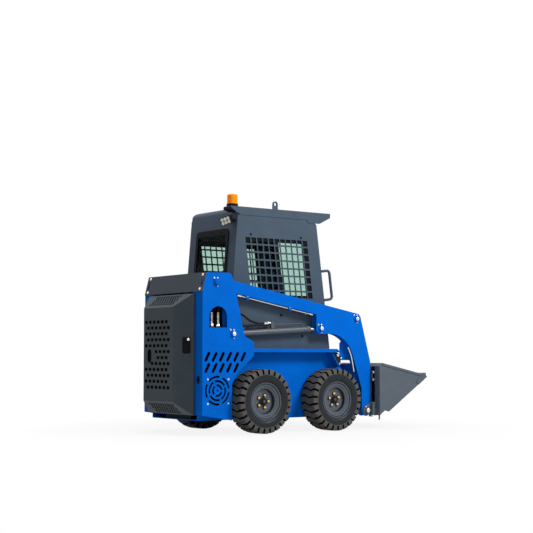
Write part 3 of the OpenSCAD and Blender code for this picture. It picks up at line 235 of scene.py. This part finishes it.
def sweep(bm, points, r, sides=12, mat=0, steps=8):
    """Adds a round tube along a smooth curve through places in mm."""
    p = [at(*q) for q in points]
    path = []
    for i in range(len(p) - 1):
        a, b, c, d = p[max(i - 1, 0)], p[i], p[i + 1], p[min(i + 2, len(p) - 1)]
        for n in range(steps):
            t = n / steps
            path.append(0.5 * (2 * b + (c - a) * t + (2 * a - 5 * b + 4 * c - d) * t * t
                               + (3 * b - a - 3 * c + d) * t ** 3))
    path.append(p[-1])
    side = (path[1] - path[0]).orthogonal().normalized()
    rings = []
    for i, q in enumerate(path):
        ahead = (path[min(i + 1, len(path) - 1)] - path[max(i - 1, 0)]).normalized()
        side = (side - ahead * side.dot(ahead)).normalized()
        up = ahead.cross(side)
        angles = [2 * math.pi * k / sides for k in range(sides)]
        rings.append([bm.verts.new(q + (side * math.cos(a) + up * math.sin(a)) * r * MM) for a in angles])
    for low, high in zip(rings, rings[1:]):
        for k in range(sides):
            j = (k + 1) % sides
            bm.faces.new((low[k], low[j], high[j], high[k])).material_index = mat
    for ring in (rings[0], rings[-1]):
        bm.faces.new(ring).material_index = mat


# Wheels
# Half of a tyre's profile in mm: distance from its middle, radius
TYRE_ROWS = [(0, TYRE_R), (14, TYRE_R), (28, 289.8), (44, 289.6), (60, 289.4), (74, 289.2), (84, 288.8),
             (92, 287.6), (98, 283), (101.5, 273), (103.5, 259), (104.6, 246), (105, 240), (103.4, 237),
             (101.8, 228), (102.8, 214), (102, 200), (98.5, 187), (93, 178), (89, 174)]
BEAD = (88, 153)
BEAD_ROW = 99
LUGS = 26
SHOULDER_ROW = 5     # row from which the grooves turn down the side
GROOVE_ROWS = 11     # rows out from the middle that the grooves cut
GROOVE_W, GROOVE_D = 21.0, 18.0
ZIGZAG, ZIGZAG_OUT, ZIGZAG_BACK = 13.0, 44, 32
# Columns of a groove and its lug, (place, cut): groove widths up to EDGE, then spread up to LUG_END
EDGE, LUG_END = 0.5, 5.6
COLUMNS = [(-EDGE, 0), (-0.36, 1), (0.36, 1), (EDGE, 0), (2.0, 0), (3.3, 0), (4.6, 0)]
GROOVE_COLUMNS = (0, 1, 2)
NUTS, NUT_CIRCLE = 5, 57


def zigzag(w):
    """How far a groove swings round the tyre at a distance from its middle."""
    out = min(1.0, abs(w) / ZIGZAG_OUT)
    back = max(0.0, min(1.0, (abs(w) - ZIGZAG_OUT) / ZIGZAG_BACK))
    return math.copysign(ZIGZAG * (out - back), w)


def tyre(name, body, x, side, spin):
    """One tyre in place of its solid: a ring of profile rows whose columns follow the grooves."""
    centre = at(x, side * AXLE_Y, TYRE_R)
    rows = [(-w, r, i) for i, (w, r) in reversed(list(enumerate(TYRE_ROWS))) if w]
    rows += [(w, r, i) for i, (w, r) in enumerate(TYRE_ROWS)]
    rows += [(BEAD[0], BEAD[1], BEAD_ROW), (-BEAD[0], BEAD[1], BEAD_ROW)]
    pitch = 2 * math.pi / LUGS
    bm = bmesh.new()
    grid = []
    for w, r, i in rows:
        swing = zigzag(w) if i < BEAD_ROW else 0.0
        fade = max(0.0, min(1.0, (GROOVE_ROWS + 1 - i) / 2.5))
        deep = GROOVE_D * fade
        wide = GROOVE_W * (0.62 + 0.38 * min(1.0, abs(w) / 82))
        lean = max(0.0, min(1.0, (i - SHOULDER_ROW) / 3))
        line = []
        for k in range(LUGS):
            for u, cut in COLUMNS:
                off = u * wide
                if u > EDGE:
                    off = EDGE * wide + (u - EDGE) / (LUG_END - EDGE) * (pitch * r - wide)
                a = spin + k * pitch + (off + swing) / r
                rr = r - deep * cut * (1 - 0.45 * lean)
                ww = w - math.copysign(deep * cut * 0.75 * lean, w)
                spot = Vector((rr * math.cos(a), side * ww, rr * math.sin(a))) * MM
                line.append(bm.verts.new(centre + spot))
        grid.append(line)
    count = len(grid[0])
    for n, low in enumerate(grid):
        high = grid[(n + 1) % len(grid)]
        i = max(rows[n][2], rows[(n + 1) % len(rows)][2])
        for j in range(count):
            f = bm.faces.new((low[j], low[(j + 1) % count], high[(j + 1) % count], high[j]))
            if i > GROOVE_ROWS + 2:
                f.material_index = 1
            # Groove faces take the near-black painted shade of the recesses
            elif i <= GROOVE_ROWS and j % len(COLUMNS) in GROOVE_COLUMNS:
                f.material_index = 2
    o = piece(bm, name, body, [TREAD, WALL, PAINTED_SHADE], 32)
    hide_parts(name.replace("tread", "tyre"))


def hub(name, body, x, side, turn):
    """Brass wheel nuts on dark washers round a hub nut, inside a dark ring of painted shade in the rim's
    dish.
    """
    bm = bmesh.new()
    out = (0, side, 0)
    face = side * (AXLE_Y + HUB_W)
    for k in range(NUTS):
        a = math.radians(turn + 360 / NUTS * k)
        p = at(x + NUT_CIRCLE * math.cos(a), face, TYRE_R + NUT_CIRCLE * math.sin(a))
        turned(bm, p, out, [(19, 8.5), (19, 11), (17, 12)], 24, 1)
        turned(bm, p, out, [(13.5, 11.5), (13.5, 23), (11, 25.5)], 6, 0, a)
        turned(bm, p, out, [(8, 25), (8, 27), (6, 29)], 16, 0)
    mid = at(x, face, TYRE_R)
    # Dark iron ring that paints the shade inside the rim's dish
    dish_shade = [(111.8, 9.2), (108, 9.2), (110, 12), (110.6, 30), (111.8, 31)]
    turned(bm, mid, out, dish_shade, 64, 1, hollow=True)
    turned(bm, mid, out, [(36, 18), (36, 25), (33, 28)], 40, 1)
    turned(bm, mid, out, [(24, 27), (24, 33), (21, 35)], 6, 1)
    turned(bm, mid, out, [(11, 34), (11, 37), (9, 38)], 20, 2)
    piece(bm, name, body, [BRASS, IRON_AND_PAINTED_SHADE, BUCKET])


# Name, length, side and the turn of the first nut in degrees
WHEELS = [("rear_right", 0, -1, 1), ("rear_left", 0, 1, 1),
          ("front_right", WHEELBASE, -1, 21), ("front_left", WHEELBASE, 1, 21)]
for where, x, side, turn in WHEELS:
    tyre("tread_" + where, "wheel_" + where, x, side, math.radians(turn))
    hub("hub_" + where, "wheel_" + where, x, side, turn)


# Seat cushions: pull of the sides, crown and seams are shares of half a pad's size
CUSHION_CUTS = 27
PULL_IN, CROWN, SEAM_W, SEAM_D = 0.035, 0.38, 0.035, 0.16


def cushion(name, size, place, lean, channels):
    """Crowned pad whose sides pull in between its corners, with sewn channels across its face."""
    bm = bmesh.new()
    bmesh.ops.create_cube(bm, size=1.0)
    bmesh.ops.subdivide_edges(bm, edges=bm.edges, cuts=CUSHION_CUTS, use_grid_fill=True)
    hx, hy, hz = (0.5 * s * MM for s in size)
    for v in bm.verts:
        x, y, z = (2 * c for c in v.co)
        fx, fy = 1 - abs(x) ** 6, 1 - abs(y) ** 6
        pull = 1 - PULL_IN * ((1 - x * x) * abs(y) ** 8 + (1 - y * y) * abs(x) ** 8)
        rise = z * (1 - CROWN + CROWN * (fx * fy) ** 0.5) if z > 0 else z
        sewn = sum(math.exp(-((x - c) / SEAM_W) ** 2) for c in channels)
        seam = sewn * max(0.0, z) ** 4 * SEAM_D * fy
        wide = pull * (1 - 0.06 * abs(z) ** 6)
        v.co = Vector((hx * x * wide, hy * y * wide, hz * (rise - seam)))
    to = Matrix.Translation(place) @ Matrix.Rotation(lean, 4, "Y")
    bmesh.ops.transform(bm, matrix=to, verts=bm.verts)
    o = piece(bm, name, "chassis", [SEAT], 80)
    return o


base = cushion("seat_cushion", (424, 444, 93), at(235, 0, 962), 0.0, (-0.36, 0.0, 0.36))
back_tilt = math.radians(-10)
back_mid = at(20, 0, 1010) + Matrix.Rotation(back_tilt, 3, "Y") @ (Vector((45, 0, 241)) * MM)
back = cushion("seat_back", (474, 424, 88), back_mid, back_tilt + math.radians(90), (-0.4, -0.05, 0.3))
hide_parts("seat_pads")
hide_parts("seat_pads")


# Pins: a bolt on the end of most, a keeper above it and a grease nipple below
KEEPER_X, KEEPER_Z, KEEPER_T = (-42, 14), (29, 43), 5
KEEPER_BOLTS, KEEPER_BOLT_Z = (-32, 4), 36
NIPPLE = (4, -38)


def pins(name, body, ends):
    """End fittings of the pins at (place, face, bolt radius), on both sides of the machine."""
    bm = bmesh.new()
    for (x, z), y, r in ends:
        for side in (-1, 1):
            out = (0, side, 0)
            if r:
                bolt(bm, at(x, side * (y + PIN_OUT), z), out, r, 12)
            low, high = sorted((side * y, side * (y + KEEPER_T)))
            block(bm, (x + KEEPER_X[0], low, z + KEEPER_Z[0]), (x + KEEPER_X[1], high, z + KEEPER_Z[1]), 1)
            for dx in KEEPER_BOLTS:
                bolt(bm, at(x + dx, side * (y + KEEPER_T), z + KEEPER_BOLT_Z), out, 5.5, 5)
            turned(bm, at(x + NIPPLE[0], side * y, z + NIPPLE[1]), out, [(6, 0), (6, 6), (4, 9)], 12)
    piece(bm, name, body, [ZINC, BLUE])


pins("pin_ends_chassis", "chassis", [(PIVOT, TOWER, 0), (FOOT, TOWER, 12)])
pins("pin_ends_arms", "lift_arms", [(LIFT_PIN, ARM, 12), (KNEE, ARM, 12)])

# Hinge bolts, black ribbed panels and a lever on each side of the coupler
LEVER_Y, LEVER_Z = 508, (541, 470)
bm = bmesh.new()
for side in (-1, 1):
    bolt(bm, at(HINGE[0], side * (EAR + PIN_OUT), HINGE[1]), (0, side, 0), 15, 13)
    bolt(bm, at(HINGE[0] - 14, side * EAR, HINGE[1] + 36), (0, side, 0), 5, 5)
    low, high = sorted((side * (ARM + 5), side * (COUPLER_HALF - 2)))
    block(bm, (COUPLER_X - 5, low, 262), (COUPLER_X + 0.5, high, 592), 1)
    for z in (330, 420):
        block(bm, (COUPLER_X - 9, low, z), (COUPLER_X - 4, high, z + 14), 1)
    for z in reversed(LEVER_Z):
        bolt(bm, at(COUPLER_X - 5, side * LEVER_Y, z), (-1, 0, 0), 10, 10)
    x = COUPLER_X - 12
    top, bottom = ((x, side * LEVER_Y, z) for z in LEVER_Z)
    sweep(bm, [top, (x, side * (LEVER_Y - 8), 505), bottom], 5, 10, 2)
piece(bm, "coupler_fittings", "bucket", [ZINC, BLACK, BUCKET])

# Ribbed black sheets of painted shade behind the towers' slots and windows, stepped to stay inside the
# towers' edge
BAY = TOWER_REAR + 18
SHADE_SHEETS = [(BAY, -262, 200, 545, TUB + 1), (BAY, -178, 546, 572, TUB + 1), (BAY, -148, 573, 600, TUB + 1),
           (BAY, -115, 601, 640, TUB + 1), (BAY, -70, 641, 742, TUB + 1), (-520, -350, 930, 1150, INNER)]
RIB_PITCH, RIB_AT, RIB_W = 40, 14, 8
bm = bmesh.new()
for side in (-1, 1):
    for x0, x1, z0, z1, y in SHADE_SHEETS:
        low, high = sorted((side * y, side * (y + 3)))
        block(bm, (x0, low, z0), (x1, high, z1))
        low, high = sorted((side * (y + 2), side * (y + 5)))
        for n in range((x1 - x0) // RIB_PITCH):
            rib = x0 + RIB_AT + RIB_PITCH * n
            block(bm, (rib, low, z0 + 6), (rib + RIB_W, high, z1 - 6))
piece(bm, "bay_painted_shade", "chassis", [PAINTED_SHADE])

# Black sheets of painted shade inside the rear door: one behind its face, two behind its grilles
DOOR_FACE = -773
GRILLE_X = -699
GRILLE_TILT = math.radians(41)
bm = bmesh.new()
block(bm, (DOOR_FACE + 5, -245, 370), (DOOR_FACE + 8, 245, 1050))
for z in range(400, 1040, 60):
    block(bm, (DOOR_FACE + 7, -238, z), (DOOR_FACE + 12, 238, z + 12))
for y in (-232, 232):
    for z in (384, 1036):
        turned(bm, at(DOOR_FACE - 0.5, y, z), (1, 0, 0), [(9, 0), (9, 4), (7, 6)], 16)
for z, tilt in ((1189, -GRILLE_TILT), (238, GRILLE_TILT)):
    turn = Matrix.Rotation(tilt, 3, "Y")
    block(bm, (GRILLE_X - 76, -222, z - 1.5), (GRILLE_X + 76, 222, z + 1.5), 0, turn)
    for y in (-230, 230):
        block(bm, (GRILLE_X - 70, y - 9, z - 6), (GRILLE_X + 70, y + 9, z + 6), 0, turn)
piece(bm, "door_painted_shade", "rear_door", [PAINTED_SHADE])

# Hydraulic coupler blocks below the front ends of the deck ledges, in near-black iron that also paints the
# deep shade there
VALVE = [(862, 748), (900, 748), (940, 728), (976, 700), (976, 606), (950, 606)]
VALVE_IN, VALVE_OUT = TUB - 2, 455
bm = bmesh.new()
for side in (-1, 1):
    low, high = sorted((side * VALVE_IN, side * VALVE_OUT))
    prism(bm, VALVE, low, high, 1)
    bolt(bm, at(944, side * VALVE_OUT, 704), (0, side, 0), 9, 10)
    bolt(bm, at(962, side * VALVE_OUT, 624), (0, side, 0), 6, 6)
    for z in (676, 634):
        p = at(976, side * 430, z)
        turned(bm, p, (1, 0, 0), [(15, -0.5), (15, 12), (13, 14)], 6)
        turned(bm, p, (1, 0, 0), [(11, 13), (11, 24), (9, 26)], 20)
piece(bm, "coupler_blocks", "chassis", [ZINC, IRON_AND_PAINTED_SHADE])

# Bright and dark screws of the chassis and cab
HOOD_Z = 1266
HOOD_DIR = Vector((45, 0, 171)).normalized()
HOOD_OUT = Vector((-HOOD_DIR.z, 0, HOOD_DIR.x))
CAB_FOOT, CAB_LEAN = (-275, 785), 0.0854


def rear_x(z):
    """Outside of the cab's leaning rear wall, mm."""
    return CAB_FOOT[0] + (z - CAB_FOOT[1]) * CAB_LEAN


bm = bmesh.new()
for side in (-1, 1):
    for z in (1289, 1416):
        up = (z - HOOD_Z) / HOOD_DIR.z
        spot = Vector((TOWER_REAR, side * 447, HOOD_Z)) + HOOD_DIR * up + HOOD_OUT * 6
        bolt(bm, at(*spot), HOOD_OUT, 9, 7)
    for x in (-564, -345):
        for z in (492, 278):
            bolt(bm, at(x, side * TOWER, z), (0, side, 0), 6, 5)
bolt(bm, at(rear_x(1925) - 34, -346, 1930), (0, -1, 0), 9, 8)
piece(bm, "bright_screws", "chassis", [ZINC])

bm = bmesh.new()
for side in (-1, 1):
    for x, z in ((-28, 1812), (551, 1809), (316, 1076), (565, 885)):
        bolt(bm, at(x, side * CAB, z), (0, side, 0), 8, 5)
for y in (-151, 0, 174):
    bolt(bm, at(rear_x(1841) - 10, y, 1841), (-1, 0, 0.085), 7, 4)
piece(bm, "dark_screws", "chassis", [BLACK])

# Oval grommet on the right rear post
GROMMET = at(TOWER_REAR, -428, 489)
GROMMET_STRETCH = 1.5
bm = bmesh.new()
turned(bm, GROMMET, (-1, 0, 0), [(24, 0), (24, 3), (20, 6), (12, 6), (11, 2)], 28)
for v in bm.verts:
    v.co.z = GROMMET.z + (v.co.z - GROMMET.z) * GROMMET_STRETCH
piece(bm, "grommet", "chassis", [BLACK])

# Work lamp face with its two rows of diodes
LAMP_Z = 1932
LAMP_TURN = [Matrix.Rotation(math.radians(a), 4, axis) for a, axis in ((18, "Z"), (-14, "Y"), (-12, "X"))]
LAMP = Matrix.Translation(at(rear_x(LAMP_Z) - 62, -306, LAMP_Z)) @ LAMP_TURN[0] @ LAMP_TURN[1] @ LAMP_TURN[2]
RIMS = [(0, 34.5, 59, 2.5), (0, -34.5, 59, 2.5), (-56.5, 0, 2.5, 31.5), (56.5, 0, 2.5, 31.5)]
bm = bmesh.new()
facing = LAMP.to_3x3() @ Vector((-1, 0, 0))
for y in (-37, 0, 37):
    for z in (-17, 17):
        spot = LAMP @ (Vector((-17, y, z)) * MM)
        turned(bm, spot, facing, [(17, 0), (17, 3), (14, 4), (12, 1.5), (6, 3)], 20, 0)
for y, z, dy, dz in RIMS:
    low = Vector((-22, y - dy, z - dz)) * MM
    high = Vector((-16, y + dy, z + dz)) * MM
    rim = bmesh.ops.create_cube(bm, size=1.0)["verts"]
    to = LAMP @ Matrix.Translation((low + high) / 2) @ Matrix.Diagonal((*(high - low), 1))
    bmesh.ops.transform(bm, matrix=to, verts=rim)
    for f in {f for v in rim for f in v.link_faces}:
        f.material_index = 1
piece(bm, "lamp_face", "chassis", [LED, BLACK])

# Latch paddle and keyhole on the rear door's right bevel
BEVEL_A, BEVEL_B = Vector((-642, -378, 0)), Vector((-777, -251, 0))
BEVEL_DIR = (BEVEL_B - BEVEL_A).normalized()
BEVEL_OUT = Vector((-0.6853, -0.7284, 0))
LATCH = BEVEL_A.lerp(BEVEL_B, 0.33) + Vector((0, 0, 791.5)) + BEVEL_OUT * 9.3
bm = bmesh.new()
angle = math.atan2(BEVEL_DIR.y, BEVEL_DIR.x)
mid = LATCH + BEVEL_DIR * 4 - Vector((0, 0, 10))
block(bm, mid - Vector((22, 5, 46)), mid + Vector((22, 5, 46)), 0, Matrix.Rotation(angle, 3, "Z"))
bolt(bm, at(*(LATCH - BEVEL_DIR * 17 + Vector((0, 0, 52)))), BEVEL_OUT, 8, 4)
for f in bm.faces:
    f.material_index = 1 if f.calc_center_median().z > at(0, 0, 832).z else 0
piece(bm, "latch_paddle", "rear_door", [BLACK, ZINC])

# Arm pipes: blue saddles, end fittings and the line down the leg
ARM_FRONT, ARM_SLOPE = (1183, 993), -0.18451
SADDLE_HALF, PIPE_DROP = 18, 9


def arm_under(x):
    """Underside of the sloping arm, mm."""
    return ARM_FRONT[1] + (x - ARM_FRONT[0]) * ARM_SLOPE


bm = bmesh.new()
for side in (-1, 1):
    for x in (-130, 350):
        z = arm_under(x + 13)
        low, high = sorted((side * (PIPE_Y - SADDLE_HALF), side * (PIPE_Y + SADDLE_HALF)))
        block(bm, (x - 4, low, z - 26), (x + 30, high, z - 1), 0)
        bolt(bm, at(x + 13, side * PIPE_Y, z - 26), (0, 0, -1), 8, 9)
    for start, end, r in ((-226, -186, 12), (600, 632, 11)):
        sweep(bm, [(x, side * PIPE_Y, arm_under(x) - PIPE_DROP) for x in (start, end)], r, 6, 1)
    y = side * LEG_LINE_Y
    sweep(bm, [(1054, y, 782), (1076, y, 740), (1099, y, 680), (1122, y, 576), (1127, y, 548)], 7, 12, 1)
piece(bm, "arm_lines", "lift_arms", [BLUE, ZINC])

# Lift cylinder line and the upper hose with its fitting, bent outwards inside the tower
BENT_Y = 458
bm = bmesh.new()
for side in (-1, 1):
    y, bent = side * CYLINDER_Y, side * BENT_Y
    sweep(bm, [(195, y, 985), (330, y, 992), (480, y, 1000), (515, y, 998), (528, y, 975)], 5, 10, 0)
    sweep(bm, [(-150, y, 935), (-138, y, 958), (-100, y, 965), (30, y, 972), (160, y, 980)], 5, 10, 0)
    sweep(bm, [(-268, bent, 930), (-262, bent, 1010), (-225, bent, 1070), (-160, y, 1068), (-75, y, 1019),
               (15, y, 994), (82, y, 996)], 9, 12, 1)
    sweep(bm, [(80, y, 996), (128, y, 1000)], 13, 6, 2)
    sweep(bm, [(126, y, 1000), (164, y, 1002)], 9, 12, 2)
piece(bm, "lift_lines", "lift_barrels", [BARREL, HOSE, ZINC])

# End fittings and coil guards of the hoses in the towers' arched windows
bm = bmesh.new()
for side in (-1, 1):
    for x in (-480, -410):
        p = at(x, side * HOSE_Y, 962)
        turned(bm, p, (0, 0, 1), [(19, 0), (19, 16), (16, 20), (13, 24)], 6)
        for z in range(28, 118, 11):
            turned(bm, p, (0, 0, 1), [(12.2, z), (15.5, z + 1.5), (15.5, z + 5), (12.2, z + 6.5)], 20)
piece(bm, "hose_ends", "chassis", [ZINC])


# Floor, light and camera
def seen_ray(tree):
    """1 for rays that show the background: straight from the camera, off metal or through glass."""
    path = tree.nodes.new("ShaderNodeLightPath")
    both = tree.nodes.new("ShaderNodeMath")
    both.operation = "MAXIMUM"
    tree.links.new(path.outputs["Is Camera Ray"], both.inputs[0])
    tree.links.new(path.outputs["Is Glossy Ray"], both.inputs[1])
    every = tree.nodes.new("ShaderNodeMath")
    every.operation = "MAXIMUM"
    tree.links.new(both.outputs[0], every.inputs[0])
    tree.links.new(path.outputs["Is Transmission Ray"], every.inputs[1])
    return every.outputs[0]


def floor_material():
    """Pale floor that shows white apart from the object's shadow close by."""
    m, t, b = principled("floor")
    b.inputs["Base Color"].default_value = (0.5, 0.5, 0.5, 1)
    b.inputs["Roughness"].default_value = 0.9
    b.inputs["Specular IOR Level"].default_value = 0.1
    white = t.nodes.new("ShaderNodeEmission")
    place = t.nodes.new("ShaderNodeTexCoord")
    far = t.nodes.new("ShaderNodeVectorMath")
    far.operation = "LENGTH"
    t.links.new(place.outputs["Object"], far.inputs[0])
    span = t.nodes.new("ShaderNodeMapRange")
    span.inputs["From Min"].default_value = 1.2
    span.inputs["From Max"].default_value = 2.6
    span.inputs["To Min"].default_value = 0.88
    span.inputs["To Max"].default_value = 1.0
    t.links.new(far.outputs["Value"], span.inputs["Value"])
    share = t.nodes.new("ShaderNodeMath")
    share.operation = "MULTIPLY"
    t.links.new(seen_ray(t), share.inputs[0])
    t.links.new(span.outputs["Result"], share.inputs[1])
    mix = t.nodes.new("ShaderNodeMixShader")
    t.links.new(share.outputs[0], mix.inputs["Fac"])
    t.links.new(b.outputs["BSDF"], mix.inputs[1])
    t.links.new(white.outputs["Emission"], mix.inputs[2])
    t.links.new(mix.outputs["Shader"], t.nodes["Material Output"].inputs["Surface"])
    return m


bpy.ops.mesh.primitive_plane_add(size=60, location=(0, 0, -0.001))
floor = bpy.context.object
floor.name = "floor"
floor.data.materials.append(floor_material())

world = bpy.data.worlds.new("studio")
bpy.context.scene.world = world
world.use_nodes = True
wt = world.node_tree
soft = wt.nodes["Background"]
soft.inputs["Color"].default_value = (1, 1, 1, 1)
soft.inputs["Strength"].default_value = 0.1
seen = wt.nodes.new("ShaderNodeBackground")
seen.inputs["Color"].default_value = (1, 1, 1, 1)
seen.inputs["Strength"].default_value = 1.0
mix = wt.nodes.new("ShaderNodeMixShader")
wt.links.new(seen_ray(wt), mix.inputs["Fac"])
wt.links.new(soft.outputs["Background"], mix.inputs[1])
wt.links.new(seen.outputs["Background"], mix.inputs[2])
wt.links.new(mix.outputs["Shader"], wt.nodes["World Output"].inputs["Surface"])


def area_light(name, place, aim, size, power):
    """Rectangular lamp in metres and watts, turned to a point."""
    d = bpy.data.lights.new(name, "AREA")
    d.shape = "RECTANGLE"
    d.size, d.size_y = size
    d.energy = power
    o = bpy.data.objects.new(name, d)
    bpy.context.collection.objects.link(o)
    o.location = place
    o.rotation_euler = (Vector(aim) - Vector(place)).to_track_quat("-Z", "Y").to_euler()


area_light("key", (2.6, -5.2, 5.4), (0, 0, 0.8), (2.2, 2.2), 530)
area_light("top", (-1.6, 0.4, 7.0), (0, 0, 0), (3, 3), 360)
area_light("side", (-4.0, -5.6, 2.2), (-0.4, 0, 0.8), (3, 3), 90)

# Camera fitted to the photograph: place in mm, tilt above level and heading in degrees
CAMERA_AT = (-6644.9, -9706.7, 706.1)
CAMERA_TILT, CAMERA_HEADING = 4.048, -36.0986
cam_data = bpy.data.cameras.new("camera")
cam_data.sensor_width = 36.0
cam_data.lens = 84.54
cam_data.clip_end = 200
cam = bpy.data.objects.new("camera", cam_data)
bpy.context.collection.objects.link(cam)
cam.location = at(*CAMERA_AT)
cam.rotation_euler = (math.radians(90 + CAMERA_TILT), 0, math.radians(CAMERA_HEADING))
bpy.context.scene.camera = cam
bpy.context.scene.view_settings.view_transform = "Standard"
